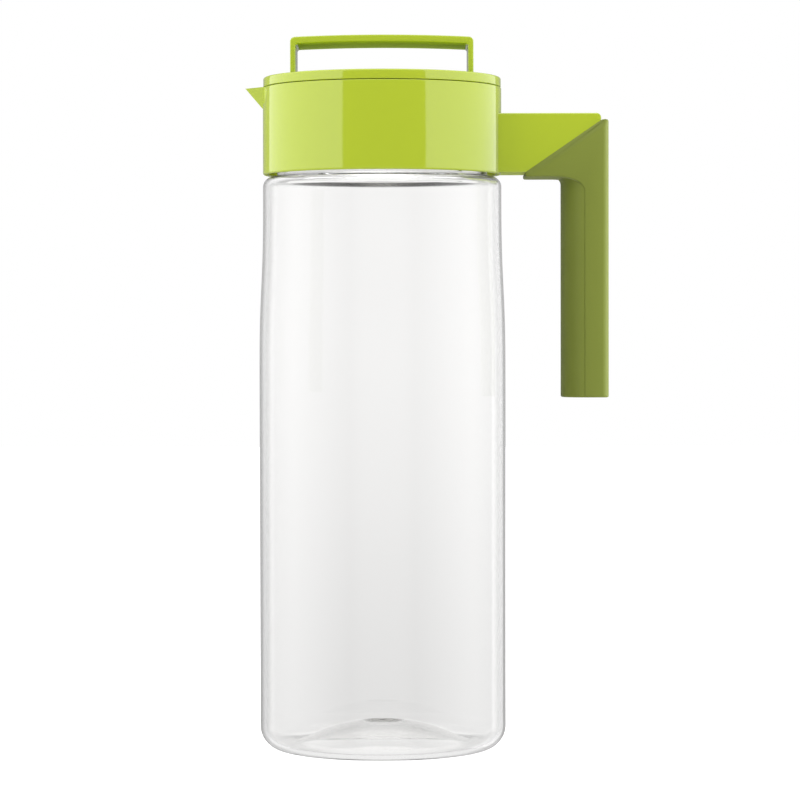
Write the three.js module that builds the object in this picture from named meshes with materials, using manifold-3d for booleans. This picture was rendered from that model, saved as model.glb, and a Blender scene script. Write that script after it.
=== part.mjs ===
// Pitcher: a clear jug, a screw collar with the spout and the handle, and a screw lid with a bail.
// Millimetres, +Z up. The origin is under the middle of the whole pitcher, on the plane that it stands on.

import * as THREE from 'three';
import { mergeVertices } from 'three/addons/utils/BufferGeometryUtils.js';
import { ConvexGeometry } from 'three/addons/geometries/ConvexGeometry.js';
import Module from 'manifold-3d';

// Clearance between pieces that seat on each other, and between a plug and its bore
const seatGap = 0.3;
const boreGap = 0.4;

// Jug
const jugRadius = 53.3;
const jugWall = 2.2;
const baseCornerRadius = 10.2;
const footWidth = 5.5;
const puntHeight = 10.4;
const markRadius = 6.4;
const markDepth = 0.8;
const markSlope = 2;
const drawInStart = 165;
const drawInLength = 71;
const shoulderHeight = 248;
const shoulderRound = 4.5;
const neckWall = 2.4;
const neckHeight = 20;
const neckInnerRound = 3;
const rimRound = 0.7;

// Gasket between the jug's rim and the collar
const gasketThickness = 2;
const gasketOverhang = 0.5;

// Collar: skirt over the neck, deck over the rim, hub for the lid's thread, bowl for the lid's plug
const collarLift = 0.8;
const collarRadius = 51.6;
const collarWall = 2.2;
const threadRoom = 3.9;
const collarEdgeRound = 0.8;
const deckThickness = 2.4;
const hubGap = 1.1;
const hubWall = 2;
const hubDrop = 4.6;

// Seal in the lid plug's groove
const sealWidth = 2.6;
const sealHeight = 2.6;
const grooveLip = 0.6;

// Spout: a pointed beak out of the collar's rim
const spoutReach = 7.6;
const spoutHalfWidth = 11.5;
const spoutDepth = 10.2;
const spoutFloor = 2.7;
const spoutLip = 2.2;
const sillCover = 1.6;

// Lid plug
const plugGap = 0.6;
const plugWall = 2.2;
const spigotDrop = 4;
const socketRadius = 14;
const socketWall = 2.5;
const socketDrop = 6;

// Lid cap and its bail
const lidSetback = 0.2;
const lidThickness = 4.1;
const lidEdgeRound = 0.8;
const locatorWall = 2.2;
const locatorDrop = 2.2;
const bailSpan = 78.6;
const bailDepth = 32;
const bailHeight = 17.5;
const bailLeg = 2.3;
const bailBar = 3;
const bailCamber = 1;
const bailRound = 2;
const bailInnerRound = 0.8;
const bailChamfer = 0.5;

// Handle arm, which stands out of the collar, and its core post
const armLift = 0.5;
const armHeight = 25.4;
const armWidth = 26.6;
const armRound = 2;
const armChamfer = 0.6;

// Grip sleeve round the post
const fingerGap = 24;
const gripDepth = 20.1;
const gripLength = 94.9;
const gripWall = 1.6;
const gripBack = 2.9;
const gripCheek = 1.2;
const gripFloor = 3;
const gripTongue = 15.8;
const gripBackDrop = 2.7;
const gripEdgeRound = 0.8;
const gripBackRound = 3;
const noseDepth = 9.4;
const noseRound = 3;
const noseSweep = 6.1;
const noseSetback = 0.5;

// Facets: steps round a full circle, in a small arc, in a long curve and round the grip's nose
const roundSteps = 48;
const arcSteps = 4;
const curveSteps = 5;
const noseSteps = 12;

// Heights and radii that follow from the sizes above
const neckTop = shoulderHeight + neckHeight;
const shoulderRadius = collarRadius;
const neckRadius = collarRadius - collarWall - threadRoom;
const neckInner = neckRadius - neckWall;
const gasketBottom = neckTop + seatGap;
const deckBottom = gasketBottom + gasketThickness + seatGap;
const deckTop = deckBottom + deckThickness;
const collarBottom = shoulderHeight + collarLift;
const bowlRadius = collarRadius - collarWall;
const hubRadius = neckInner - hubGap;
const hubBore = hubRadius - hubWall;
const drumBottom = deckTop + boreGap;
const grooveBottom = drumBottom + grooveLip;
const grooveTop = grooveBottom + sealHeight + 2 * seatGap;
const keelBottom = grooveTop + sillCover - spoutFloor;
const collarTop = keelBottom + spoutDepth;
const lidBottom = collarTop + seatGap;
const lidTop = lidBottom + lidThickness;
const lidRadius = collarRadius - lidSetback;
const bailTop = lidTop + bailHeight;
const armBottom = collarBottom + armLift;
const armTop = armBottom + armHeight;
const noseTip = jugRadius + fingerGap;
const gripOuter = noseTip + gripDepth;
const armEnd = gripOuter - gripBack - seatGap;
const gripUnder = armBottom - seatGap - gripWall;
const gripBottom = gripUnder - gripLength;
const gripHalfWidth = armWidth / 2 + seatGap + gripCheek;
const spoutTip = collarRadius + spoutReach;

// The pitcher's round axis stands this far from the middle of its whole length
const axisOffset = (spoutTip - gripOuter) / 2;

const wasm = await Module();
wasm.setup();

// One vertex for each place, and no triangle without area
function weld(geometry) {
  const bare = geometry.clone();
  bare.deleteAttribute('normal');
  bare.deleteAttribute('uv');
  const merged = mergeVertices(bare, 1e-4);
  const index = merged.index.array;
  const kept = [];
  for (let i = 0; i < index.length; i += 3) {
    const [a, b, c] = [index[i], index[i + 1], index[i + 2]];
    if (a !== b && b !== c && c !== a) kept.push(a, b, c);
  }
  merged.setIndex(kept);
  return merged;
}

function solid(geometry) {
  const welded = weld(geometry);
  return new wasm.Manifold(new wasm.Mesh({
    numProp: 3,
    vertProperties: Float32Array.from(welded.attributes.position.array),
    triVerts: Uint32Array.from(welded.index.array),
  }));
}

function surface(manifold) {
  const mesh = manifold.getMesh();
  const geometry = new THREE.BufferGeometry();
  geometry.setAttribute('position', new THREE.BufferAttribute(mesh.vertProperties, 3));
  geometry.setIndex(new THREE.BufferAttribute(mesh.triVerts, 1));
  return geometry;
}

// A profile of [radius, height] points turned about the Z axis, up the outside and down the inside
function turned(points) {
  const profile = points.map(([radius, height]) => new THREE.Vector2(radius, height));
  return new THREE.LatheGeometry(profile, roundSteps).rotateX(Math.PI / 2);
}

// A ring whose section is a closed loop of [radius, height] points
function turnedRing(points) {
  return turned([...points, points[0]]);
}

// Points on an arc, angles in degrees from the +radius direction
function arc(centreRadius, centreHeight, radius, from, to, steps = arcSteps) {
  const points = [];
  for (let i = 0; i <= steps; i += 1) {
    const angle = THREE.MathUtils.degToRad(from + (to - from) * i / steps);
    points.push([centreRadius + radius * Math.cos(angle), centreHeight + radius * Math.sin(angle)]);
  }
  return points;
}

// A side view in X and Z, made as wide as the given width in Y, its two faces rounded off by the edge sizes
function plate(shape, width, edgeInset, edgeDepth, edgeSteps) {
  const geometry = new THREE.ExtrudeGeometry(shape, {
    depth: width - 2 * edgeDepth,
    bevelEnabled: true,
    bevelSize: edgeInset,
    bevelOffset: -edgeInset,
    bevelThickness: edgeDepth,
    bevelSegments: edgeSteps,
    curveSegments: 2 * arcSteps,
  });
  geometry.translate(0, 0, edgeDepth - width / 2);
  return geometry.rotateX(Math.PI / 2);
}

// A closed body through a stack of outlines, each with the same number of [x, y] points at its own height
function loft(sections) {
  const count = sections[0].outline.length;
  const positions = sections.flatMap(({ outline, height }) => outline.flatMap(([x, y]) => [x, y, height]));
  const index = [];
  for (let level = 0; level < sections.length - 1; level += 1) {
    for (let i = 0; i < count; i += 1) {
      const here = level * count + i;
      const next = level * count + (i + 1) % count;
      index.push(here, next, here + count, next, next + count, here + count);
    }
  }
  const capOf = ({ outline }) => THREE.ShapeUtils.triangulateShape(
    outline.map(([x, y]) => new THREE.Vector2(x, y)), []);
  const top = (sections.length - 1) * count;
  capOf(sections[0]).forEach(([a, b, c]) => index.push(a, c, b));
  capOf(sections[sections.length - 1]).forEach(([a, b, c]) => index.push(top + a, top + b, top + c));
  const geometry = new THREE.BufferGeometry();
  geometry.setAttribute('position', new THREE.Float32BufferAttribute(positions, 3));
  geometry.setIndex(index);
  return geometry;
}

// Clear jug: foot ring, domed base with a round mark, sides that draw in to the shoulder, and the neck

// The side's S curve from the body to the shoulder, offset inwards by the wall
function drawnInSide(inset) {
  const top = drawInStart + drawInLength;
  const half = drawInLength / 2;
  const curve = new THREE.CubicBezierCurve(
    new THREE.Vector2(jugRadius - inset, drawInStart),
    new THREE.Vector2(jugRadius - inset, drawInStart + half),
    new THREE.Vector2(shoulderRadius - inset, top - half),
    new THREE.Vector2(shoulderRadius - inset, top),
  );
  return curve.getPoints(curveSteps).map((point) => [point.x, point.y]);
}

// The base from the axis out to the foot, as part of a sphere with a flat mark sunk in its middle
function domedBase(wall, sunk) {
  const footInner = jugRadius - baseCornerRadius - footWidth;
  const sphere = (footInner ** 2 + puntHeight ** 2) / (2 * puntHeight);
  const centre = puntHeight - sphere;
  const radius = sphere + wall;
  const edge = Math.sqrt(radius ** 2 - (wall - centre) ** 2);
  const onDome = (r) => [r, centre + Math.sqrt(radius ** 2 - r ** 2)];
  const markEdge = markRadius + markSlope;
  const markFloor = onDome(markEdge)[1] - sunk;
  const points = [[0, markFloor], [markRadius, markFloor]];
  for (let i = 0; i < curveSteps; i += 1) {
    points.push(onDome(markEdge + (edge - markEdge) * i / curveSteps));
  }
  points.push([edge, wall]);
  return points;
}

function makeJug() {
  const cornerCentre = jugRadius - baseCornerRadius;
  const roundCentre = shoulderRadius - shoulderRound;
  const roundHeight = shoulderHeight - shoulderRound;
  const innerRound = shoulderRound - jugWall;
  const neckCorner = [neckInner + neckInnerRound, shoulderHeight - jugWall + neckInnerRound];
  const outside = [
    ...domedBase(0, 0),
    ...arc(cornerCentre, baseCornerRadius, baseCornerRadius, -90, 0),
    ...drawnInSide(0),
    ...arc(roundCentre, roundHeight, shoulderRound, 0, 90),
    [neckRadius, shoulderHeight],
    ...arc(neckRadius - rimRound, neckTop - rimRound, rimRound, 0, 90, 2),
  ];
  const inside = [
    [neckInner, neckTop],
    ...arc(...neckCorner, neckInnerRound, 180, 270),
    ...arc(roundCentre, roundHeight, innerRound, 90, 0),
    ...drawnInSide(jugWall).reverse(),
    ...arc(cornerCentre, baseCornerRadius, baseCornerRadius - jugWall, 0, -90),
    ...domedBase(jugWall, markDepth).reverse(),
  ];
  return turned([...outside, ...inside]);
}

function makeJugGasket() {
  const inner = hubRadius + boreGap;
  const outer = neckRadius + gasketOverhang;
  const top = gasketBottom + gasketThickness;
  return turnedRing([[inner, gasketBottom], [outer, gasketBottom], [outer, top], [inner, top]]);
}

// Collar: one moulding of skirt, deck, hub and bowl, with the beak joined on and its channel cut through

function collarRing() {
  const edge = collarEdgeRound;
  return turnedRing([
    [bowlRadius, collarBottom],
    ...arc(collarRadius - edge, collarBottom + edge, edge, -90, 0, 2),
    [collarRadius, collarTop],
    [bowlRadius, collarTop],
    [bowlRadius, deckTop],
    [hubBore, deckTop],
    [hubBore, deckBottom - hubDrop],
    [hubRadius, deckBottom - hubDrop],
    [hubRadius, deckBottom],
    [bowlRadius, deckBottom],
  ]);
}

// The beak: flat on top, with two flat faces that meet along a slanting keel
function beak() {
  const root = collarRadius - collarWall / 2;
  const rootX = -Math.sqrt(root ** 2 - spoutHalfWidth ** 2);
  return new ConvexGeometry([
    new THREE.Vector3(-spoutTip, 0, collarTop),
    new THREE.Vector3(rootX, spoutHalfWidth, collarTop),
    new THREE.Vector3(rootX, -spoutHalfWidth, collarTop),
    new THREE.Vector3(-root, 0, keelBottom),
  ]);
}

// The channel inside the beak, open at the top and through the collar's wall, with a level sill
function spoutChannel() {
  const keelSlope = spoutDepth / (spoutTip - collarRadius + collarWall / 2);
  const tip = -spoutTip + spoutLip;
  const sill = grooveTop + sillCover;
  const sillX = tip + (collarTop - sill) / keelSlope;
  const inner = -bowlRadius + collarWall;
  const over = collarTop + collarWall;
  const halfWidth = spoutHalfWidth - spoutLip / 2;
  const wideX = -Math.sqrt(collarRadius ** 2 - spoutHalfWidth ** 2) + spoutLip / 2;
  const points = [new THREE.Vector3(sillX, 0, sill), new THREE.Vector3(inner, 0, sill)];
  [collarTop, over].forEach((height) => {
    points.push(new THREE.Vector3(tip, 0, height));
    [-halfWidth, halfWidth].forEach((y) => {
      points.push(new THREE.Vector3(wideX, y, height), new THREE.Vector3(inner, y, height));
    });
  });
  return new ConvexGeometry(points);
}

function makeCollar() {
  const bowl = turned([[0, deckTop], [bowlRadius, deckTop], [bowlRadius, collarTop], [0, collarTop]]);
  const body = solid(collarRing()).add(solid(beak()).subtract(solid(bowl)));
  return surface(body.subtract(solid(spoutChannel())));
}

// Handle: the arm's box, the core post inside the grip, and the grip sleeve fitted round both

// Outline of the grip at one height: a round nose towards the jug, and a square back
function gripOutline(tip, flatStart, back, halfWidth) {
  const depth = flatStart - tip;
  const points = [];
  for (let i = 0; i <= noseSteps; i += 1) {
    const angle = Math.PI * i / noseSteps;
    points.push([flatStart - depth * Math.sin(angle), halfWidth * Math.cos(angle)]);
  }
  points.push([back, -halfWidth], [back, halfWidth]);
  return points;
}

// The nose from the grip's bottom up to the arm's underside, where it sweeps out flat
function noseLoft(inset, bottom, top, back) {
  const halfWidth = gripHalfWidth - noseSetback - inset;
  const flatStart = noseTip + noseDepth;
  const section = (height) => {
    const tipRise = Math.max(0, height - (gripUnder - noseRound)) / noseRound;
    const flatRise = Math.max(0, height - (gripUnder - noseSweep)) / noseSweep;
    const tipOut = noseRound * (1 - Math.sqrt(Math.max(0, 1 - tipRise ** 2)));
    const flatOut = (noseDepth + noseRound) * (1 - Math.sqrt(Math.max(0, 1 - flatRise ** 2)));
    return gripOutline(noseTip + inset - tipOut, flatStart + inset - flatOut, back, halfWidth);
  };
  const heights = [bottom];
  for (let i = 0; i <= curveSteps; i += 1) {
    heights.push(gripUnder - noseSweep * Math.cos(Math.PI / 2 * i / curveSteps));
  }
  const sections = heights.map((height) => ({ height, outline: section(height) }));
  sections.push({ height: top, outline: section(gripUnder) });
  return loft(sections);
}

function armBox(grow) {
  const start = collarRadius / 2;
  const end = armEnd + grow;
  const bottom = armBottom - grow;
  const top = armTop + grow;
  const shape = new THREE.Shape();
  shape.moveTo(start, bottom);
  shape.lineTo(end, bottom);
  shape.lineTo(end, top - armRound);
  shape.absarc(end - armRound, top - armRound, armRound, 0, Math.PI / 2);
  shape.lineTo(start, top);
  return plate(shape, armWidth + 2 * grow, armChamfer, armChamfer, 1);
}

function makeHandleArm() {
  const inset = gripWall + seatGap;
  const post = noseLoft(inset, gripBottom + gripFloor + seatGap, armBottom + armRound, armEnd);
  const collar = turned([
    [0, 0], [collarRadius + seatGap, 0], [collarRadius + seatGap, lidTop], [0, lidTop],
  ]);
  return surface(solid(armBox(0)).add(solid(post)).subtract(solid(collar)));
}

// The sleeve's flat sides, from the tongue under the arm to the strip behind it
function gripPlate() {
  const flatStart = noseTip + noseDepth;
  const sweepStart = noseTip - noseRound;
  const shape = new THREE.Shape();
  shape.moveTo(noseTip - gripTongue, gripUnder);
  shape.lineTo(sweepStart, gripUnder);
  const sweepDepth = flatStart - sweepStart;
  shape.absellipse(sweepStart, gripUnder - noseSweep, sweepDepth, noseSweep, Math.PI / 2, 0, true);
  shape.lineTo(flatStart, gripBottom);
  shape.lineTo(gripOuter, gripBottom);
  shape.lineTo(gripOuter, armTop - gripBackDrop);
  shape.lineTo(armEnd + seatGap, armTop - gripBackDrop);
  shape.lineTo(noseTip - gripTongue, armBottom);
  return plate(shape, 2 * gripHalfWidth, gripEdgeRound, gripEdgeRound, 2);
}

// The sleeve seen from above, with its two back corners rounded
function gripPlan() {
  const shape = new THREE.Shape();
  const corner = gripHalfWidth - gripBackRound;
  shape.moveTo(collarRadius, -gripHalfWidth);
  shape.lineTo(gripOuter - gripBackRound, -gripHalfWidth);
  shape.absarc(gripOuter - gripBackRound, -corner, gripBackRound, -Math.PI / 2, 0);
  shape.absarc(gripOuter - gripBackRound, corner, gripBackRound, 0, Math.PI / 2);
  shape.lineTo(collarRadius, gripHalfWidth);
  const geometry = new THREE.ExtrudeGeometry(shape, {
    depth: armTop - gripBottom,
    bevelEnabled: false,
    curveSegments: 2 * arcSteps,
  });
  return geometry.translate(0, 0, gripBottom);
}

function makeGripSleeve() {
  const nose = noseLoft(0, gripBottom, gripUnder, gripOuter - gripBackRound);
  const outside = solid(gripPlate()).intersect(solid(gripPlan())).add(solid(nose));
  const postSpace = noseLoft(gripWall, gripBottom + gripFloor, armBottom + armRound, armEnd + seatGap);
  return surface(outside.subtract(solid(armBox(seatGap))).subtract(solid(postSpace)));
}

// Lid: the plug cup with its seal groove and infuser socket, the seal, and the cap with its bail

function makeLidPlug() {
  const drum = bowlRadius - plugGap;
  const grooveRadius = bowlRadius - sealWidth - 2 * seatGap;
  const drumInner = grooveRadius - plugWall;
  const drumTop = lidBottom - seatGap;
  const spigot = hubBore - boreGap;
  const spigotBottom = deckBottom - hubDrop - spigotDrop;
  const socketOuter = socketRadius + socketWall;
  return turned([
    [0, spigotBottom],
    [socketRadius, spigotBottom],
    [socketRadius, spigotBottom - socketDrop],
    [socketOuter, spigotBottom - socketDrop],
    [socketOuter, spigotBottom],
    [spigot, spigotBottom],
    [spigot, drumBottom],
    [drum, drumBottom],
    [drum, grooveBottom],
    [grooveRadius, grooveBottom],
    [grooveRadius, grooveTop],
    [drum, grooveTop],
    [drum, drumTop],
    [drumInner, drumTop],
    [drumInner, drumBottom + plugWall],
    [spigot - plugWall, drumBottom + plugWall],
    [spigot - plugWall, spigotBottom + plugWall],
    [0, spigotBottom + plugWall],
  ]);
}

function makePlugSeal() {
  const outer = bowlRadius - seatGap;
  const inner = outer - sealWidth;
  const low = grooveBottom + seatGap;
  const high = low + sealHeight;
  const corner = Math.min(sealWidth, sealHeight) / 4;
  return turnedRing([
    [inner, low], [outer - corner, low], [outer, low + corner],
    [outer, high - corner], [outer - corner, high], [inner, high],
  ]);
}

function lidDisc() {
  const locator = bowlRadius - sealWidth - 3 * seatGap - plugWall;
  const edge = lidEdgeRound;
  return turned([
    [0, lidBottom],
    [locator - locatorWall, lidBottom],
    [locator - locatorWall, lidBottom - locatorDrop],
    [locator, lidBottom - locatorDrop],
    [locator, lidBottom],
    [lidRadius, lidBottom],
    ...arc(lidRadius - edge, lidTop - edge, edge, 0, 90, 3),
    [0, lidTop],
  ]);
}

// The bail's front view: two upright legs and a bar that rises a little in its middle
function bailShape() {
  const half = bailSpan / 2;
  const inner = half - bailLeg;
  const root = lidTop - lidThickness / 2;
  const corner = bailTop - bailCamber;
  const under = corner - bailBar;
  const shape = new THREE.Shape();
  shape.moveTo(half, root);
  shape.lineTo(half, corner - bailRound);
  shape.absarc(half - bailRound, corner - bailRound, bailRound, 0, Math.PI / 2);
  shape.quadraticCurveTo(0, bailTop + bailCamber, -half + bailRound, corner);
  shape.absarc(-half + bailRound, corner - bailRound, bailRound, Math.PI / 2, Math.PI);
  shape.lineTo(-half, root);
  shape.lineTo(-inner, root);
  shape.lineTo(-inner, under - bailInnerRound);
  shape.lineTo(-inner + bailInnerRound, under);
  shape.quadraticCurveTo(0, under + 2 * bailCamber, inner - bailInnerRound, under);
  shape.lineTo(inner, under - bailInnerRound);
  shape.lineTo(inner, root);
  return shape;
}

function makeLidCap() {
  const bail = plate(bailShape(), bailDepth, bailChamfer, bailChamfer, 1);
  return surface(solid(lidDisc()).add(solid(bail)));
}

// Materials and the assembly

const clearPlastic = { color: 0xeef1f0, roughness: 0.06, metalness: 0 };
const greenPlastic = { color: 0xb2c632, roughness: 0.16, metalness: 0 };
const softGrip = { color: 0x7d8a37, roughness: 0.62, metalness: 0 };
const silicone = { color: 0xdfe3dc, roughness: 0.5, metalness: 0 };

const pitcher = new THREE.Group();
pitcher.position.x = axisOffset;

function addPiece(name, geometry, look) {
  const piece = new THREE.Mesh(weld(geometry), new THREE.MeshStandardMaterial(look));
  piece.name = name;
  pitcher.add(piece);
}

addPiece('jug', makeJug(), clearPlastic);
addPiece('jug_gasket', makeJugGasket(), silicone);
addPiece('collar', makeCollar(), greenPlastic);
addPiece('handle_arm', makeHandleArm(), greenPlastic);
addPiece('grip_sleeve', makeGripSleeve(), softGrip);
addPiece('lid_plug', makeLidPlug(), greenPlastic);
addPiece('plug_seal', makePlugSeal(), silicone);
addPiece('lid_cap', makeLidCap(), greenPlastic);

const part = new THREE.Group();
part.add(pitcher);

export default part;
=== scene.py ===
import bmesh
import bpy
import math
from mathutils import Matrix, Vector


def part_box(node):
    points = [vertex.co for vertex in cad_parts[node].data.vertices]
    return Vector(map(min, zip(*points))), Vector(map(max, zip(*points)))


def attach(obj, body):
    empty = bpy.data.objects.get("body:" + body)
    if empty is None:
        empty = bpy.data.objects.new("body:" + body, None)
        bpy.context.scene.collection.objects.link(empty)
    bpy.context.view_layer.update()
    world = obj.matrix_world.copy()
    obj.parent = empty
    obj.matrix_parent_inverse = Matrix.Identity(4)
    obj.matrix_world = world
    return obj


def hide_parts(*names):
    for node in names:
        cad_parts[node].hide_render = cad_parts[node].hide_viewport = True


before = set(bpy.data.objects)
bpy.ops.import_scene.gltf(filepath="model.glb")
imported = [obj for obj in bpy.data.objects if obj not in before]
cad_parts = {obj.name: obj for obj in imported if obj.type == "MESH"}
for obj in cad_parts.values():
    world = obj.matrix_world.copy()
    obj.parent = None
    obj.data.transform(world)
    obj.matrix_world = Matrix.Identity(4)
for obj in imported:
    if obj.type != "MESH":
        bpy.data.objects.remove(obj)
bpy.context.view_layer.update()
scene = bpy.context.scene
print("frame loaded:", ", ".join(sorted(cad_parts)))

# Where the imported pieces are, in metres
jugLow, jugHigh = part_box("jug")
collarLow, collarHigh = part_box("collar")
armLow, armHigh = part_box("handle_arm")
gripLow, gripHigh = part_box("grip_sleeve")
plugLow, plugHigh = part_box("lid_plug")
sealLow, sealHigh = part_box("plug_seal")
gasketLow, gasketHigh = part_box("jug_gasket")
lidLow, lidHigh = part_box("lid_cap")

axisX = (jugLow.x + jugHigh.x) / 2  # the jug's upright axis
axisPoint = Vector((axisX, 0, 0))
upright = Vector((0, 0, 1))
acrossY = Vector((0, 1, 0))
tiny = 1e-6

shading = {
    "sharpAngle": math.radians(32), "bevelAngle": math.radians(20), "mergeDistance": 2e-6,
    "cornerSteps": 6,
}


# Modelling helpers

def roundCorner(bm, vert, reach, steps):
    bmesh.ops.bevel(bm, geom=[vert], offset=reach, offset_type="OFFSET", segments=steps,
                    profile=0.5, affect="VERTICES", material=-1)


def bevelEdges(bm, edges, reach, steps):
    bmesh.ops.bevel(bm, geom=edges, offset=reach, offset_type="OFFSET", affect="EDGES", segments=steps,
                    profile=0.5, material=-1)


def boxMesh(low, high):
    bm = bmesh.new()
    verts = bmesh.ops.create_cube(bm, size=1)["verts"]
    bmesh.ops.scale(bm, vec=high - low, verts=verts)
    bmesh.ops.translate(bm, vec=(low + high) / 2, verts=verts)
    return bm


def drawOutline(bm, corners, closed=False, steps=shading["cornerSteps"]):
    # each corner is a radius, a height and, if it is rounded, how far the round reaches
    verts = [bm.verts.new((axisX + corner[0], 0, corner[1])) for corner in corners]
    pairs = list(zip(verts, verts[1:]))
    if closed:
        pairs.append((verts[-1], verts[0]))
    for start, end in pairs:
        bm.edges.new((start, end))
    for vert, corner in zip(verts, corners):
        if len(corner) > 2:
            roundCorner(bm, vert, corner[2], steps)


def wholeOf(bm):
    return bm.verts[:] + bm.edges[:] + bm.faces[:]


def vertsIn(geometry):
    return [item for item in geometry if isinstance(item, bmesh.types.BMVert)]


def turnOutline(bm, steps):
    bmesh.ops.spin(bm, geom=bm.verts[:] + bm.edges[:], cent=axisPoint, axis=upright,
                   angle=2 * math.pi, steps=steps, use_merge=True)
    closeUp(bm)


def closeUp(bm):
    bmesh.ops.remove_doubles(bm, verts=bm.verts[:], dist=shading["mergeDistance"])
    bmesh.ops.recalc_face_normals(bm, faces=bm.faces[:])


def turnedPiece(name, corners, steps, closed, cornerSteps=shading["cornerSteps"]):
    bm = bmesh.new()
    drawOutline(bm, corners, closed, cornerSteps)
    turnOutline(bm, steps)
    return meshObject(name, bm)


def hull(name, points):
    bm = bmesh.new()
    verts = [bm.verts.new(point) for point in points]
    bmesh.ops.convex_hull(bm, input=verts)
    closeUp(bm)
    return meshObject(name, bm)


def meshObject(name, bm):
    mesh = bpy.data.meshes.new(name)
    bm.to_mesh(mesh)
    bm.free()
    made = bpy.data.objects.new(name, mesh)
    scene.collection.objects.link(made)
    return made


def combine(piece, tool, operation):
    # join a tool shape to the piece, or cut it out, and drop the tool
    step = piece.modifiers.new(operation.lower(), "BOOLEAN")
    step.object = tool
    step.operation = operation
    step.solver = "EXACT"
    graph = bpy.context.evaluated_depsgraph_get()
    result = bpy.data.meshes.new_from_object(piece.evaluated_get(graph))
    result.name = piece.name
    piece.modifiers.clear()
    piece.data = result
    bpy.data.objects.remove(tool)


def shadeSmooth(piece):
    # smooth all over, with a crisp line wherever two faces meet at a real edge
    bm = bmesh.new()
    bm.from_mesh(piece.data)
    closeUp(bm)
    for face in bm.faces:
        face.smooth = True
    for edge in bm.edges:
        edge.smooth = edge.calc_face_angle(0) < shading["sharpAngle"]
    bm.to_mesh(piece.data)
    bm.free()


def fit(piece, body, node, material):
    shadeSmooth(piece)
    piece.data.materials.clear()
    piece.data.materials.append(material)
    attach(piece, body)
    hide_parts(node)
    print("made", piece.name, "with", len(piece.data.polygons), "faces")


def threadRidges(name, thread):
    # trapezoid ridges spun up a right-hand helix, each run out to nothing at both ends
    bm = bmesh.new()
    root = thread["radius"]
    crest = root + thread["depth"]
    halfFoot = thread["foot"] / 2
    halfTop = thread["top"] / 2
    steps = round(thread["turns"] * thread["stepsPerTurn"])
    rise = Vector((0, 0, thread["lead"] / thread["stepsPerTurn"]))
    sunk = root - math.copysign(thread["sunk"], thread["depth"])
    for start in range(thread["starts"]):
        section = [(sunk, -halfFoot), (crest, -halfTop), (crest, halfTop), (sunk, halfFoot)]
        verts = [bm.verts.new((axisX + r, 0, thread["bottom"] + z)) for r, z in section]
        face = bm.faces.new(verts)
        first = Matrix.Rotation(thread["startAngle"] + 2 * math.pi * start / thread["starts"], 4, "Z")
        bmesh.ops.rotate(bm, verts=verts, cent=axisPoint, matrix=first)
        made = bmesh.ops.spin(bm, geom=[face] + verts + face.edges[:], cent=axisPoint, axis=upright,
                              dvec=rise, angle=2 * math.pi * thread["turns"], steps=steps)
        for vert in verts + vertsIn(made["geom_last"]):
            away = Vector((vert.co.x - axisX, vert.co.y, 0))
            vert.co -= away.normalized() * (away.length - sunk)
    closeUp(bm)
    return meshObject(name, bm)


# Materials

def nodeGroup(name, inputs, outputs):
    group = bpy.data.node_groups.new(name, "ShaderNodeTree")
    for label, kind, value in inputs:
        socket = group.interface.new_socket(name=label, in_out="INPUT", socket_type=kind)
        socket.default_value = value
    for label, kind in outputs:
        group.interface.new_socket(name=label, in_out="OUTPUT", socket_type=kind)
    return group


def addNode(tree, kind, inputs=None, **settings):
    node = tree.nodes.new(kind)
    for label, value in settings.items():
        setattr(node, label, value)
    for label, value in (inputs or {}).items():
        if isinstance(value, bpy.types.NodeSocket):
            tree.links.new(value, node.inputs[label])
        else:
            node.inputs[label].default_value = value
    return node


def rampNode(tree, value, start, end, first, last):
    return addNode(tree, "ShaderNodeMapRange", {
        "Value": value, "From Min": start, "From Max": end, "To Min": first, "To Max": last,
    }, interpolation_type="SMOOTHSTEP").outputs["Result"]


finishSpan = {
    "driftDetail": 2, "grainDetail": 3,
    "grainLow": 0.3, "grainHigh": 0.7,  # the grain from the glossiest spot to the dullest
    "downFull": -0.97, "downFrom": -0.9,  # how far down a face looks where it turns dull
}


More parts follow.
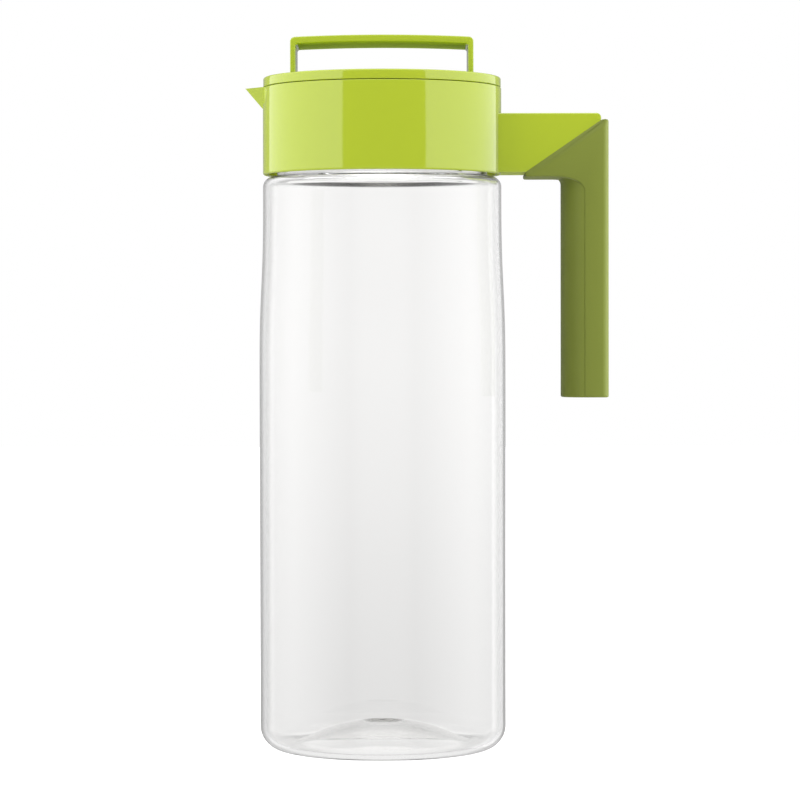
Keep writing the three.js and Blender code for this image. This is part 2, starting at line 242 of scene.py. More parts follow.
def makeMouldedFinish():
    # slow drift of tone, fine grain in the gloss and the height, and duller where it faces down
    group = nodeGroup(
        "mouldedFinish",
        [("Colour", "NodeSocketColor", (1, 1, 1, 1)), ("Tone Drift", "NodeSocketFloat", 0.05),
         ("Drift Scale", "NodeSocketFloat", 30), ("Grain Scale", "NodeSocketFloat", 900),
         ("Rough Low", "NodeSocketFloat", 0.1), ("Rough High", "NodeSocketFloat", 0.2),
         ("Under Rough", "NodeSocketFloat", 0.2)],
        [("Colour", "NodeSocketColor"), ("Roughness", "NodeSocketFloat"), ("Height", "NodeSocketFloat")])
    given = addNode(group, "NodeGroupInput")
    place = addNode(group, "ShaderNodeTexCoord")
    drift = addNode(group, "ShaderNodeTexNoise", {
        "Vector": place.outputs["Object"], "Scale": given.outputs["Drift Scale"],
        "Detail": finishSpan["driftDetail"]})
    grain = addNode(group, "ShaderNodeTexNoise", {
        "Vector": place.outputs["Object"], "Scale": given.outputs["Grain Scale"],
        "Detail": finishSpan["grainDetail"]})
    darker = addNode(group, "ShaderNodeMath", {
        0: drift.outputs["Fac"], 1: given.outputs["Tone Drift"]}, operation="MULTIPLY")
    value = addNode(group, "ShaderNodeMath", {0: 1.0, 1: darker.outputs[0]}, operation="SUBTRACT")
    shade = addNode(group, "ShaderNodeHueSaturation", {
        "Color": given.outputs["Colour"], "Value": value.outputs[0]})
    rough = addNode(group, "ShaderNodeMapRange", {
        "Value": grain.outputs["Fac"],
        "From Min": finishSpan["grainLow"], "From Max": finishSpan["grainHigh"],
        "To Min": given.outputs["Rough Low"], "To Max": given.outputs["Rough High"]})
    facing = addNode(group, "ShaderNodeSeparateXYZ", {"Vector": place.outputs["Normal"]})
    under = addNode(group, "ShaderNodeMapRange", {
        "Value": facing.outputs["Z"],
        "From Min": finishSpan["downFull"], "From Max": finishSpan["downFrom"],
        "To Min": given.outputs["Under Rough"], "To Max": rough.outputs["Result"]})
    addNode(group, "NodeGroupOutput", {
        "Colour": shade.outputs["Color"], "Roughness": under.outputs["Result"],
        "Height": grain.outputs["Fac"]})
    return group


mouldedFinish = makeMouldedFinish()


def finishedMaterial(name, look):
    material = bpy.data.materials.new(name)
    material.use_nodes = True
    tree = material.node_tree
    shader = tree.nodes["Principled BSDF"]
    finish = addNode(tree, "ShaderNodeGroup", node_tree=mouldedFinish)
    for socket in finish.inputs:
        socket.default_value = look[socket.name]
    bump = addNode(tree, "ShaderNodeBump", {
        "Height": finish.outputs["Height"], "Strength": look["Bump"], "Distance": look["Bump Depth"]})
    tree.links.new(finish.outputs["Colour"], shader.inputs["Base Color"])
    tree.links.new(finish.outputs["Roughness"], shader.inputs["Roughness"])
    tree.links.new(bump.outputs["Normal"], shader.inputs["Normal"])
    for label, value in look["Shader"].items():
        shader.inputs[label].default_value = value
    return material


greenLook = {
    "Colour": (0.445, 0.555, 0.009, 1), "Tone Drift": 0.03, "Drift Scale": 18, "Grain Scale": 700,
    "Rough Low": 0.05, "Rough High": 0.09, "Under Rough": 0.7, "Bump": 0.08, "Bump Depth": 0.00002,
    "Shader": {"IOR": 1.78},
}
gripLook = {
    "Colour": (0.185, 0.225, 0.022, 1), "Tone Drift": 0.06, "Drift Scale": 25, "Grain Scale": 1500,
    "Rough Low": 0.46, "Rough High": 0.62, "Under Rough": 0.7, "Bump": 0.25, "Bump Depth": 0.00008,
    "Shader": {"IOR": 1.48},
}
siliconeLook = {
    "Colour": (0.72, 0.75, 0.70, 1), "Tone Drift": 0.05, "Drift Scale": 40, "Grain Scale": 900,
    "Rough Low": 0.38, "Rough High": 0.52, "Under Rough": 0.5, "Bump": 0.15, "Bump Depth": 0.00004,
    "Shader": {"IOR": 1.42, "Subsurface Weight": 0.2, "Subsurface Scale": 0.002},
}
clearLook = {
    "Colour": (0.99, 0.988, 0.984, 1), "Tone Drift": 0.01, "Drift Scale": 12, "Grain Scale": 25,
    "Rough Low": 0.0, "Rough High": 0.02, "Under Rough": 0.01, "Bump": 0.02, "Bump Depth": 0.0002,
    "Shader": {"IOR": 1.53, "Specular IOR Level": 0.25, "Transmission Weight": 1.0},
}
clearTint = {"colour": (0.75, 0.748, 0.735, 1), "density": 12}
# how edge on the clear wall is seen where painted shade darkens it, and how dark it is painted there
clearEdgeShade = {"blend": 0.5, "from": 0.62, "full": 0.8, "shadeValue": 0.42}

greenPlastic = finishedMaterial("greenPlastic", greenLook)
softGrip = finishedMaterial("softGrip", gripLook)
sealSilicone = finishedMaterial("sealSilicone", siliconeLook)
clearPlastic = finishedMaterial("clearPlastic", clearLook)


def paintedEdgeShade(tree):
    # painted shade: the clear wall's colour darkened where it is seen edge on, standing in for its dark
    # edges; and a slight tint through its thickness
    shader = tree.nodes["Principled BSDF"]
    plain = shader.inputs["Base Color"].links[0].from_socket
    slant = addNode(tree, "ShaderNodeLayerWeight", {"Blend": clearEdgeShade["blend"]})
    # painted shade: how far the clear wall's colour is darkened where it is seen edge on
    tone = rampNode(tree, slant.outputs["Facing"], clearEdgeShade["from"], clearEdgeShade["full"],
                    1.0, clearEdgeShade["shadeValue"])
    edgeShaded = addNode(tree, "ShaderNodeHueSaturation", {"Color": plain, "Value": tone})
    tree.links.new(edgeShaded.outputs["Color"], shader.inputs["Base Color"])
    absorb = addNode(tree, "ShaderNodeVolumeAbsorption", {
        "Color": clearTint["colour"], "Density": clearTint["density"]})
    tree.links.new(absorb.outputs["Volume"], tree.nodes["Material Output"].inputs["Volume"])


paintedEdgeShade(clearPlastic.node_tree)
print("materials made")


# Clear jug with its domed base, drawn-in shoulder and threaded neck

jug = {
    "wall": 0.0022, "baseRound": 0.0102, "footWidth": 0.0055,
    "domeHeight": 0.0104, "domeSteps": 14, "markRadius": 0.0064, "markDepth": 0.0008, "markSlope": 0.002,
    "drawInStart": 0.165, "drawInLength": 0.071, "drawInSteps": 16,
    "shoulderHeight": 0.248, "shoulderRound": 0.0045,
    "neckRadius": 0.0455, "neckWall": 0.0024, "neckFillet": 0.0008, "rimRound": 0.0007,
    "steps": 192, "cornerSteps": 14,
}
neckThread = {
    "radius": jug["neckRadius"], "depth": 0.0015, "sunk": 0.0004, "foot": 0.0026, "top": 0.0011,
    "bottom": 0.2525, "lead": 0.012, "starts": 2, "turns": 0.8, "stepsPerTurn": 72, "startAngle": 0.6,
}
jugRadius = jugHigh.x - axisX
collarRadius = collarHigh.y


def domePoints(wall, markDepth):
    footInner = jugRadius - jug["baseRound"] - jug["footWidth"]
    sphere = (footInner ** 2 + jug["domeHeight"] ** 2) / (2 * jug["domeHeight"])
    centre = jug["domeHeight"] - sphere
    reach = sphere + wall
    edge = math.sqrt(reach ** 2 - (wall - centre) ** 2)

    def heightAt(radius):
        return centre + math.sqrt(reach ** 2 - radius ** 2)

    start = jug["markRadius"] + jug["markSlope"]
    markFloor = heightAt(start) - markDepth
    points = [(0, markFloor), (jug["markRadius"], markFloor, jug["markSlope"] / 3)]
    for step in range(jug["domeSteps"]):
        radius = start + (edge - start) * step / jug["domeSteps"]
        points.append((radius, heightAt(radius)))
    return points + [(edge, wall)]


def sidePoints(inset):
    # the slow S curve from the body in to the shoulder
    points = []
    for step in range(jug["drawInSteps"] + 1):
        t = step / jug["drawInSteps"]
        radius = jugRadius + (collarRadius - jugRadius) * (3 * t ** 2 - 2 * t ** 3) - inset
        points.append((radius, jug["drawInStart"] + jug["drawInLength"] * (1.5 * t * (1 - t) + t ** 3)))
    return points


def makeJug():
    wall = jug["wall"]
    neckInner = jug["neckRadius"] - jug["neckWall"]
    underShoulder = jug["shoulderHeight"] - wall
    outside = domePoints(0, 0) + [(jugRadius, 0, jug["baseRound"])] + sidePoints(0) + [
        (collarRadius, jug["shoulderHeight"], jug["shoulderRound"]),
        (jug["neckRadius"], jug["shoulderHeight"], jug["neckFillet"]),
        (jug["neckRadius"], jugHigh.z, jug["rimRound"]),
    ]
    inside = [
        (neckInner, jugHigh.z, jug["rimRound"]),
        (neckInner, underShoulder, jug["neckFillet"] + wall),
        (collarRadius - wall, underShoulder, jug["shoulderRound"] - wall),
    ] + sidePoints(wall)[::-1] + [(jugRadius - wall, wall, jug["baseRound"] - wall)]
    inside += domePoints(wall, jug["markDepth"])[::-1]
    piece = turnedPiece("clearJug", outside + inside, jug["steps"], closed=False,
                        cornerSteps=jug["cornerSteps"])
    combine(piece, threadRidges("neckThread", neckThread), "UNION")
    fit(piece, "jug", "jug", clearPlastic)


makeJug()


# Gasket between the jug's rim and the collar's deck

gasket = {"inner": 0.0424, "edgeRound": 0.0005, "steps": 96}


def makeGasket():
    outer = gasketHigh.y
    section = [(gasket["inner"], gasketLow.z), (outer, gasketLow.z), (outer, gasketHigh.z),
               (gasket["inner"], gasketHigh.z)]
    corners = [(radius, height, gasket["edgeRound"]) for radius, height in section]
    piece = turnedPiece("rimGasket", corners, gasket["steps"], closed=True)
    fit(piece, "jug_seal", "jug_gasket", sealSilicone)


makeGasket()


# Collar: skirt, deck, hub and bowl in one ring, with the pointed spout and both threads

collar = {
    "wall": 0.0022, "deckTop": 0.273, "deckThickness": 0.0024, "hubRadius": 0.042, "hubBore": 0.0409,
    "hubDrop": 0.0046, "skirtRound": 0.0008, "rimRound": 0.0004, "fillet": 0.0008, "steps": 192,
}
spout = {
    "halfWidth": 0.0115, "rootDepth": 0.0006, "keelDepth": 0.0011, "keelBottom": 0.2761,
    "lip": 0.0022, "sill": 0.2788, "cutInside": 0.0022, "cutAbove": 0.002,
}
skirtThread = {
    "radius": collarRadius - collar["wall"], "depth": -0.0018, "sunk": 0.0004, "foot": 0.0026,
    "top": 0.0011, "bottom": 0.2525, "lead": 0.012, "starts": 2, "turns": 0.8, "stepsPerTurn": 72,
    "startAngle": neckThread["startAngle"] - math.pi / 2,
}
hubThread = {
    "radius": collar["hubBore"], "depth": -0.0009, "sunk": 0.0003, "foot": 0.0018, "top": 0.0008,
    "bottom": 0.2672, "lead": 0.024, "starts": 4, "turns": 0.19, "stepsPerTurn": 144, "startAngle": 0.2,
}


keelX = axisX - collarRadius + spout["keelDepth"]


def beakShape():
    root = collarRadius - spout["rootDepth"]
    rootX = axisX - math.sqrt(root ** 2 - spout["halfWidth"] ** 2)
    tip = (collarLow.x, 0, collarHigh.z)
    keel = (keelX, 0, spout["keelBottom"])
    sides = [(rootX, side * spout["halfWidth"], collarHigh.z) for side in (-1, 1)]
    return hull("beak", [tip, keel] + sides)


def channelShape():
    slope = (collarHigh.z - spout["keelBottom"]) / (keelX - collarLow.x)
    tipX = collarLow.x + spout["lip"]
    sillX = tipX + (collarHigh.z - spout["sill"]) / slope
    insideX = axisX - collarRadius + collar["wall"] + spout["cutInside"]
    halfWidth = spout["halfWidth"] - spout["lip"] / 2
    wideX = axisX - math.sqrt(collarRadius ** 2 - spout["halfWidth"] ** 2) + spout["lip"] / 2
    points = [(sillX, 0, spout["sill"]), (insideX, 0, spout["sill"])]
    for height in (collarHigh.z, collarHigh.z + spout["cutAbove"]):
        points.append((tipX, 0, height))
        for y in (-halfWidth, halfWidth):
            points += [(wideX, y, height), (insideX, y, height)]
    return hull("channel", points)


def makeCollar():
    bowl = collarRadius - collar["wall"]
    deckBottom = collar["deckTop"] - collar["deckThickness"]
    hubBottom = deckBottom - collar["hubDrop"]
    corners = [
        (bowl, collarLow.z, collar["rimRound"]),
        (collarRadius, collarLow.z, collar["skirtRound"]),
        (collarRadius, collarHigh.z, collar["rimRound"]),
        (bowl, collarHigh.z, collar["rimRound"]),
        (bowl, collar["deckTop"], collar["fillet"]),
        (collar["hubBore"], collar["deckTop"], collar["rimRound"]),
        (collar["hubBore"], hubBottom, collar["rimRound"]),
        (collar["hubRadius"], hubBottom, collar["rimRound"]),
        (collar["hubRadius"], deckBottom, collar["fillet"]),
        (bowl, deckBottom, collar["fillet"]),
    ]
    piece = turnedPiece("spoutCollar", corners, collar["steps"], closed=True)
    combine(piece, beakShape(), "UNION")
    combine(piece, channelShape(), "DIFFERENCE")
    combine(piece, threadRidges("skirtThread", skirtThread), "UNION")
    combine(piece, threadRidges("hubThread", hubThread), "UNION")
    fit(piece, "collar", "collar", greenPlastic)


makeCollar()


# Handle: box arm with its core post, and the soft sleeve round both

arm = {
    "rootInset": 0.002, "bottom": 0.2493, "endRound": 0.002, "edgeRound": 0.0006, "edgeSteps": 3,
    "postRise": 0.002,
}
grip = {
    "tongue": 0.0158, "underside": 0.2474, "wall": 0.0016, "floor": 0.003, "gap": 0.0003,
    "noseDepth": 0.0094, "noseRound": 0.003, "noseSweep": 0.0061, "noseSetback": 0.0005,
    "noseOverlap": 0.002, "noseSteps": 24, "sweepSteps": 12, "lipSlope": 0.003,
    "edgeRound": 0.0008, "backRound": 0.003, "edgeSteps": 4, "trimDepth": 0.0055, "pocketGap": 0.00003,
}
noseTip = gripLow.x + grip["tongue"]
flatStart = noseTip + grip["noseDepth"]
sweepStart = noseTip - grip["noseRound"]
lipStart = Vector((gripLow.x, 0, arm["bottom"]))
lipEnd = Vector((armHigh.x + grip["gap"], 0, gripHigh.z))
lipAway = Vector((lipStart.z - lipEnd.z, 0, lipEnd.x - lipStart.x)).normalized()  # up off the lip
postTop = arm["bottom"] + arm["postRise"]


def noseSolid(name, inset, bottom, top, back, bends):
    # half-round nose drawn up the grip, and turned out under the arm if it bends
    bm = bmesh.new()
    halfWidth = gripHigh.y - grip["noseSetback"] - inset
    depth = grip["noseDepth"]
    outline = [(back, halfWidth)]
    for step in range(grip["noseSteps"] + 1):
        angle = math.pi * step / grip["noseSteps"]
        outline.append((flatStart + inset - depth * math.sin(angle), halfWidth * math.cos(angle)))
    outline.append((back, -halfWidth))
    face = bm.faces.new([bm.verts.new((x, y, bottom)) for x, y in outline])
    raised = bmesh.ops.extrude_face_region(bm, geom=[face], use_keep_orig=True)["geom"]
    bmesh.ops.translate(bm, verts=vertsIn(raised), vec=(0, 0, top - bottom))
    if bends:
        bendCentre = Vector((sweepStart, 0, top))
        bmesh.ops.spin(bm, geom=raised, cent=bendCentre, axis=acrossY, angle=-math.pi / 2,
                       steps=grip["sweepSteps"])
    closeUp(bm)
    if bends:
        low = [edge for edge in bm.edges if all(abs(vert.co.z - bottom) < tiny for vert in edge.verts)]
        bevelEdges(bm, low, grip["edgeRound"], grip["edgeSteps"])
        trimPoint = lipStart - lipAway * grip["trimDepth"]
        bmesh.ops.bisect_plane(bm, geom=wholeOf(bm), plane_co=trimPoint,
                               plane_no=lipAway, clear_outer=True)
        rim = [edge for edge in bm.edges if edge.is_boundary]
        bmesh.ops.contextual_create(bm, geom=rim)
        closeUp(bm)
    return meshObject(name, bm)


def sleevePlate():
    # one flat-sided half: the side outline drawn out to the cheek, its lip sloped back to the arm
    bm = bmesh.new()
    outline = [(gripLow.x, grip["underside"])]
    for step in range(grip["sweepSteps"] + 1):
        angle = math.pi / 2 * (1 - step / grip["sweepSteps"])
        outline.append((sweepStart + (flatStart - sweepStart) * math.cos(angle),
                        grip["underside"] - grip["noseSweep"] * (1 - math.sin(angle))))
    outline += [(flatStart, gripLow.z), (gripHigh.x, gripLow.z), (gripHigh.x, gripHigh.z),
                (lipEnd.x, lipEnd.z), (lipStart.x, lipStart.z)]
    middle = [bm.verts.new((x, 0, z)) for x, z in outline]
    loop = [bm.edges.new((middle[i - 1], middle[i])) for i in range(len(middle))]
    drawn = bmesh.ops.extrude_edge_only(bm, edges=loop)["geom"]
    cheekEdges = [item for item in drawn if isinstance(item, bmesh.types.BMEdge)]
    bmesh.ops.translate(bm, verts=vertsIn(drawn), vec=(0, -gripHigh.y, 0))
    rim = [edge for edge in cheekEdges if all(vert.co.y < -armHigh.y for vert in edge.verts)]
    bmesh.ops.contextual_create(bm, geom=rim)
    bmesh.ops.recalc_face_normals(bm, faces=bm.faces[:])
    back = [edge for edge in rim if all(vert.co.x > gripHigh.x - tiny for vert in edge.verts)]
    bevelEdges(bm, back, grip["backRound"], 2 * grip["edgeSteps"])
    cheek = gripHigh.y - armHigh.y
    slopeNormal = (lipAway * cheek - acrossY * grip["lipSlope"]).normalized()
    bmesh.ops.bisect_plane(bm, geom=wholeOf(bm), dist=tiny / 10,
                           plane_co=lipStart - acrossY * armHigh.y, plane_no=slopeNormal, clear_outer=True)
    cut = [edge for edge in bm.edges if edge.is_boundary and any(vert.co.y < -tiny for vert in edge.verts)]
    bmesh.ops.contextual_create(bm, geom=cut)
    bmesh.ops.recalc_face_normals(bm, faces=bm.faces[:])
    onArm = [edge for edge in bm.edges
             if all(abs(vert.co.y + armHigh.y) < tiny for vert in edge.verts)]
    sharp = [edge for edge in bm.edges
             if edge.calc_face_angle(0) > shading["bevelAngle"] and edge not in onArm]
    bevelEdges(bm, sharp, grip["edgeRound"], grip["edgeSteps"])
    bmesh.ops.mirror(bm, geom=wholeOf(bm), axis="Y", merge_dist=tiny)
    closeUp(bm)
    return meshObject("gripSleeve", bm)


def makeArm():
    low = Vector((axisX + collarRadius - arm["rootInset"], -armHigh.y, arm["bottom"]))
    bm = boxMesh(low, armHigh)
    corner = [edge for edge in bm.edges
              if all(vert.co.x > armHigh.x - tiny and vert.co.z > armHigh.z - tiny for vert in edge.verts)]
    bevelEdges(bm, corner, arm["endRound"], 2 * arm["edgeSteps"])
    sharp = [edge for edge in bm.edges if edge.calc_face_angle(0) > shading["bevelAngle"]
             and any(vert.co.x > low.x + tiny for vert in edge.verts)]
    bevelEdges(bm, sharp, arm["edgeRound"], arm["edgeSteps"])
    piece = meshObject("handleArm", bm)
    post = noseSolid("post", grip["wall"] + grip["gap"], armLow.z, postTop, armHigh.x, bends=False)
    combine(piece, post, "UNION")
    fit(piece, "collar", "handle_arm", greenPlastic)


def makeSleeve():
    bendHeight = grip["underside"] - grip["noseRound"] + grip["pocketGap"]
    piece = sleevePlate()
    nose = noseSolid("nose", 0, gripLow.z, bendHeight, flatStart + grip["noseOverlap"], bends=True)
    combine(piece, nose, "UNION")
    pocketSide = armHigh.y + grip["pocketGap"]
    pocketLow = Vector((axisX + collarRadius, -pocketSide, arm["bottom"] - grip["pocketGap"]))
    pocketHigh = Vector((lipEnd.x, pocketSide, armHigh.z + grip["gap"]))
    combine(piece, meshObject("armPocket", boxMesh(pocketLow, pocketHigh)), "DIFFERENCE")
    postSpace = noseSolid("postSpace", grip["wall"], gripLow.z + grip["floor"], postTop, lipEnd.x,
                          bends=False)
    combine(piece, postSpace, "DIFFERENCE")
    fit(piece, "collar", "grip_sleeve", softGrip)


makeArm()
makeSleeve()


# Lid: the plug cup with its seal and threaded spigot, and the cap with its bail

plug = {
    "drumBottom": 0.2734, "grooveBottom": 0.274, "grooveTop": 0.2772, "grooveRadius": 0.0462,
    "spigotRadius": 0.0387, "spigotBottom": 0.262, "socketRadius": 0.014, "socketWall": 0.0025,
    "wall": 0.0022, "edgeRound": 0.0003, "fillet": 0.0008, "steps": 144,
}
spigotThread = {
    "radius": plug["spigotRadius"], "depth": 0.0009, "sunk": 0.0003, "foot": 0.0018, "top": 0.0008,
    "bottom": 0.2636, "lead": 0.024, "starts": 4, "turns": 0.25, "stepsPerTurn": 144, "startAngle": 0.9,
}
seal = {"inner": 0.0465, "edgeRound": 0.0009, "steps": 144}
lid = {
    "bottom": 0.2866, "edgeRound": 0.0008, "underRound": 0.0003,
    "locatorOuter": 0.0437, "locatorWall": 0.0022, "steps": 192,
}
bail = {
    "halfSpan": 0.0393, "halfDepth": 0.016, "height": 0.0175, "leg": 0.0023, "bar": 0.003,
    "camber": 0.001, "outerRound": 0.002, "innerRound": 0.0008, "edgeRound": 0.0005,
    "edgeSteps": 3, "sunk": 0.0015, "cuts": 24,
}


def makePlug():
    drum = plugHigh.y
    drumInner = plug["grooveRadius"] - plug["wall"]
    spigot = plug["spigotRadius"]
    spigotInner = spigot - plug["wall"]
    socketOuter = plug["socketRadius"] + plug["socketWall"]
    edge, fillet = plug["edgeRound"], plug["fillet"]
    corners = [
        (0, plug["spigotBottom"]),
        (plug["socketRadius"], plug["spigotBottom"], fillet),
        (plug["socketRadius"], plugLow.z, edge),
        (socketOuter, plugLow.z, edge),
        (socketOuter, plug["spigotBottom"], fillet),
        (spigot, plug["spigotBottom"], fillet),
        (spigot, plug["drumBottom"], edge),
        (drum, plug["drumBottom"], edge),
        (drum, plug["grooveBottom"], edge / 2),
        (plug["grooveRadius"], plug["grooveBottom"], edge),
        (plug["grooveRadius"], plug["grooveTop"], edge),
        (drum, plug["grooveTop"], edge),
        (drum, plugHigh.z, edge),
        (drumInner, plugHigh.z, edge),
        (drumInner, plug["drumBottom"] + plug["wall"], fillet),
        (spigotInner, plug["drumBottom"] + plug["wall"], fillet),
        (spigotInner, plug["spigotBottom"] + plug["wall"], fillet),
        (0, plug["spigotBottom"] + plug["wall"]),
    ]
    piece = turnedPiece("plugCup", corners, plug["steps"], closed=False)
    combine(piece, threadRidges("spigotThread", spigotThread), "UNION")
    fit(piece, "lid", "lid_plug", greenPlastic)


def makeSeal():
    section = [(seal["inner"], sealLow.z), (sealHigh.y, sealLow.z), (sealHigh.y, sealHigh.z),
               (seal["inner"], sealHigh.z)]
    corners = [(radius, height, seal["edgeRound"]) for radius, height in section]
    piece = turnedPiece("plugSeal", corners, seal["steps"], closed=True)
    fit(piece, "lid_seal", "plug_seal", sealSilicone)


def bailShape():
    discTop = lidHigh.z - bail["height"]
    half = bail["halfSpan"]
    inner = half - bail["leg"]
    root = discTop - bail["sunk"]
    corner = lidHigh.z - bail["camber"]
    under = corner - bail["bar"]
    bm = bmesh.new()
    drawOutline(bm, [
        (half, root), (half, corner, bail["outerRound"]),
        (-half, corner, bail["outerRound"]), (-half, root),
        (-inner, root), (-inner, under, bail["innerRound"]),
        (inner, under, bail["innerRound"]), (inner, root),
    ], closed=True)
    long = [edge for edge in bm.edges if abs(edge.verts[0].co.x - edge.verts[1].co.x) > half]
    bmesh.ops.subdivide_edges(bm, edges=long, cuts=bail["cuts"])
    for vert in bm.verts:
        if vert.co.z > under - tiny:  # the bar rises a little in its middle
            vert.co.z += bail["camber"] * (1 - ((vert.co.x - axisX) / half) ** 2)
    bmesh.ops.translate(bm, verts=bm.verts[:], vec=-acrossY * bail["halfDepth"])
    face = bmesh.ops.contextual_create(bm, geom=bm.edges[:])["faces"][0]
    drawn = bmesh.ops.extrude_face_region(bm, geom=[face], use_keep_orig=True)["geom"]
    bmesh.ops.translate(bm, verts=vertsIn(drawn), vec=2 * acrossY * bail["halfDepth"])
    bmesh.ops.recalc_face_normals(bm, faces=bm.faces[:])
    ends = [edge for edge in bm.edges if abs(edge.verts[0].co.y - edge.verts[1].co.y) < tiny
            and edge.calc_face_angle(0) > shading["bevelAngle"]
            and any(vert.co.z > root + tiny for vert in edge.verts)]
    bevelEdges(bm, ends, bail["edgeRound"], bail["edgeSteps"])
    closeUp(bm)
    return meshObject("bail", bm)


def makeLid():
    discTop = lidHigh.z - bail["height"]
    locatorInner = lid["locatorOuter"] - lid["locatorWall"]
    corners = [
        (0, lid["bottom"]),
        (locatorInner, lid["bottom"]),
        (locatorInner, lidLow.z, lid["underRound"]),
        (lid["locatorOuter"], lidLow.z, lid["underRound"]),
        (lid["locatorOuter"], lid["bottom"]),
        (lidHigh.y, lid["bottom"], lid["underRound"]),
        (lidHigh.y, discTop, lid["edgeRound"]),
        (0, discTop),
    ]
    piece = turnedPiece("lidWithBail", corners, lid["steps"], closed=False)
    combine(piece, bailShape(), "UNION")
    fit(piece, "lid", "lid_cap", greenPlastic)


makePlug()
makeSeal()
makeLid()


# Studio: white floor and room, panels on both sides and above, and panels that light one piece alone

floorLook = {
    "size": 8.0, "cells": 4, "colour": (0.8, 0.8, 0.8, 1),
    "roughness": 0.6, "drift": 0.03, "noiseScale": 3, "seen": 1.0,
}
panels = {
    "leftPanel": {
        "from": (-0.9, -1.186, 0.0), "to": (-0.9, 1.0, 1.5), "faces": (1, 0, 0),
        "radiance": 1.2, "skips": "clearJug",
    },
    "rightPanel": {
        "from": (0.9, -1.007, 0.0), "to": (0.9, 1.152, 1.5), "faces": (-1, 0, 0),
        "radiance": 1.2, "skips": "clearJug",
    },
    "topPanel": {
        "from": (-1.0, -1.6, 1.6), "to": (1.0, 0.8, 1.6), "faces": (0, 0, -1),
        "radiance": 1.5,
    },
    "leftGlow": {
        "from": (-0.9, -1.55, -1.0), "to": (-0.9, 1.55, 1.5), "faces": (1, 0, 0),
        "radiance": 1.0, "spread": math.radians(120), "only": "clearJug",
    },
    "rightGlow": {
        "from": (0.9, -1.55, -1.0), "to": (0.9, 1.55, 1.5), "faces": (-1, 0, 0),
        "radiance": 1.0, "spread": math.radians(120), "only": "clearJug",
    },
    "leftRim": {
        "from": (-0.9, 0.55, -1.0), "to": (-0.9, 1.7, 1.5), "faces": (1, 0, 0),
        "radiance": 0.45, "only": "clearJug",
    },
    "rightRim": {
        "from": (0.9, 0.55, -1.0), "to": (0.9, 1.7, 1.5), "faces": (-1, 0, 0),
        "radiance": 0.9, "only": "clearJug",
    },
    "gripPanel": {
        "from": (0.9, -0.45, -0.3), "to": (0.9, 0.15, 0.9), "faces": (-1, 0, 0),
        "radiance": 3.0, "only": "gripSleeve",
    },
}
clearOf = ["floor", "handleArm", "gripSleeve"]  # these throw no shadow in a light for one piece
unmirrored = ["handleArm", "gripSleeve"]  # no image of the handle in the gloss
unseen = ["spoutCollar", "plugCup", "plugSeal", "lidWithBail"]  # no green in the clear neck
room = {
    "seen": 1.0, "dim": 0.4, "dimGround": 0.75,
    "backLow": 0.79, "backHigh": 0.98, "lowSlope": -0.14, "highSlope": 0.02,
    "ground": 0.9, "groundFrom": -0.15, "groundFull": -0.4,
    "inner": 0.5, "innerFrom": 0.3, "innerFull": 0.8,
}
bounces = 96  # enough for light that stays long in the clear wall


def makeFloor():
    bm = bmesh.new()
    bmesh.ops.create_grid(bm, x_segments=floorLook["cells"], y_segments=floorLook["cells"],
                          size=floorLook["size"] / 2)
    floor = meshObject("floor", bm)
    material = bpy.data.materials.new("paleFloor")
    material.use_nodes = True
    tree = material.node_tree
    shader = tree.nodes["Principled BSDF"]
    place = addNode(tree, "ShaderNodeTexCoord")
    noise = addNode(tree, "ShaderNodeTexNoise", {
        "Vector": place.outputs["Object"], "Scale": floorLook["noiseScale"]})
    rough = addNode(tree, "ShaderNodeMapRange", {
        "Value": noise.outputs["Fac"],
        "To Min": floorLook["roughness"] - floorLook["drift"],
        "To Max": floorLook["roughness"] + floorLook["drift"]})
    tree.links.new(rough.outputs["Result"], shader.inputs["Roughness"])
    shader.inputs["Base Color"].default_value = floorLook["colour"]
    path = addNode(tree, "ShaderNodeLightPath")
    tree.links.new(path.outputs["Is Camera Ray"], shader.inputs["Emission Color"])
    shader.inputs["Emission Strength"].default_value = floorLook["seen"]
    floor.data.materials.append(material)
    floor.visible_transmission = False
    floor.visible_glossy = False


def linkedPieces(name, pieces, state):
    group = bpy.data.collections.new(name)
    for piece in pieces:
        group.objects.link(bpy.data.objects[piece])
    for item in group.collection_objects:
        item.light_linking.link_state = state
    return group


def makePanel(name, panel):
    low, high = Vector(panel["from"]), Vector(panel["to"])
    extent = high - low
    width = math.hypot(extent.x, extent.y) if extent.z else extent.x
    height = extent.z or extent.y
    light = bpy.data.lights.new(name, "AREA")
    light.shape = "RECTANGLE"
    light.size = width
    light.size_y = height
    light.spread = panel.get("spread", math.pi)
    light.energy = panel["radiance"] * math.pi * width * height
    lamp = bpy.data.objects.new(name, light)
    lamp.location = (low + high) / 2 + axisPoint
    lamp.rotation_euler = Vector(panel["faces"]).to_track_quat("-Z", "Y").to_euler()
    lamp.visible_camera = False
    scene.collection.objects.link(lamp)
    if "skips" in panel:
        reach = linkedPieces(name + "Reach", [panel["skips"]], "EXCLUDE")
        lamp.light_linking.receiver_collection = reach
    if "only" in panel:
        lamp.visible_transmission = False
        reach = linkedPieces(name + "Reach", [panel["only"]], "INCLUDE")
        lamp.light_linking.receiver_collection = reach
        lamp.light_linking.blocker_collection = linkedPieces(name + "Clear", clearOf, "EXCLUDE")


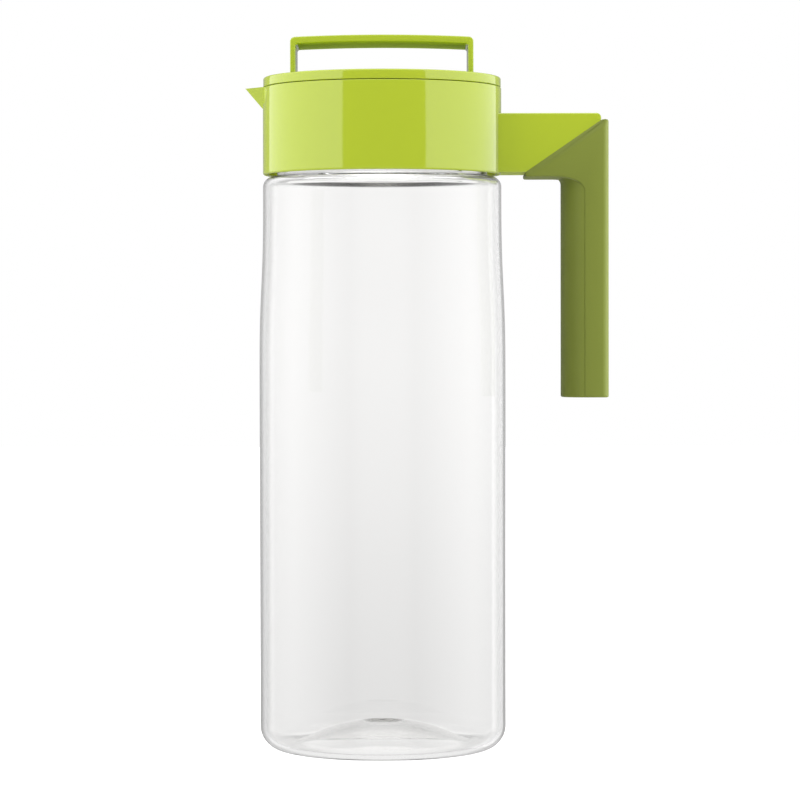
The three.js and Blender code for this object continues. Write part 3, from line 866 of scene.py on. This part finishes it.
def makeRoom():
    # white to the camera, dim in the gloss; through the clear jug a little darker below,
    # and dimmer to both sides after a reflection inside it
    world = bpy.data.worlds.new("studioRoom")
    world.use_nodes = True
    scene.world = world
    tree = world.node_tree
    place = addNode(tree, "ShaderNodeTexCoord")
    parts = addNode(tree, "ShaderNodeSeparateXYZ", {"Vector": place.outputs["Generated"]})
    up = parts.outputs["Z"]
    back = rampNode(tree, up, room["lowSlope"], room["highSlope"], room["backLow"], room["backHigh"])
    through = rampNode(tree, up, room["groundFrom"], room["groundFull"], back, room["ground"])
    dim = rampNode(tree, up, room["groundFrom"], room["groundFull"], room["dim"], room["dimGround"])
    aside = addNode(tree, "ShaderNodeMath", {0: parts.outputs["X"]}, operation="ABSOLUTE").outputs[0]
    path = addNode(tree, "ShaderNodeLightPath")
    sides = rampNode(tree, aside, room["innerFrom"], room["innerFull"], through, room["inner"])
    inner = rampNode(tree, path.outputs["Glossy Depth"], 0, 1, through, sides)
    bent = rampNode(tree, path.outputs["Is Transmission Ray"], 0, 1, dim, inner)
    strength = rampNode(tree, path.outputs["Is Camera Ray"], 0, 1, bent, room["seen"])
    background = tree.nodes["Background"]
    background.inputs["Color"].default_value = (1, 1, 1, 1)
    tree.links.new(strength, background.inputs["Strength"])


makeFloor()
for name, panel in panels.items():
    makePanel(name, panel)
makeRoom()
for name in unmirrored:
    bpy.data.objects[name].visible_glossy = False
for name in unseen:
    bpy.data.objects[name].visible_transmission = False
scene.view_settings.view_transform = "Standard"
scene.cycles.max_bounces = bounces
scene.cycles.glossy_bounces = bounces
scene.cycles.transmission_bounces = bounces
print("studio lit")


# Camera at the photograph's eye level, tipped down a little

shot = {
    "right": 0.0076, "distance": 1.406, "height": 0.1769, "tip": math.radians(1.043),
    "roll": math.radians(0.1), "lens": 145.8, "sensor": 36, "clipNear": 0.05, "clipFar": 20,
}


def makeCamera():
    data = bpy.data.cameras.new("shotCamera")
    data.lens = shot["lens"]
    data.sensor_width = shot["sensor"]
    data.clip_start = shot["clipNear"]
    data.clip_end = shot["clipFar"]
    camera = bpy.data.objects.new("shotCamera", data)
    camera.location = (axisX + shot["right"], -shot["distance"], shot["height"])
    camera.rotation_euler = (math.pi / 2 - shot["tip"], shot["roll"], 0)
    scene.collection.objects.link(camera)
    scene.camera = camera


makeCamera()
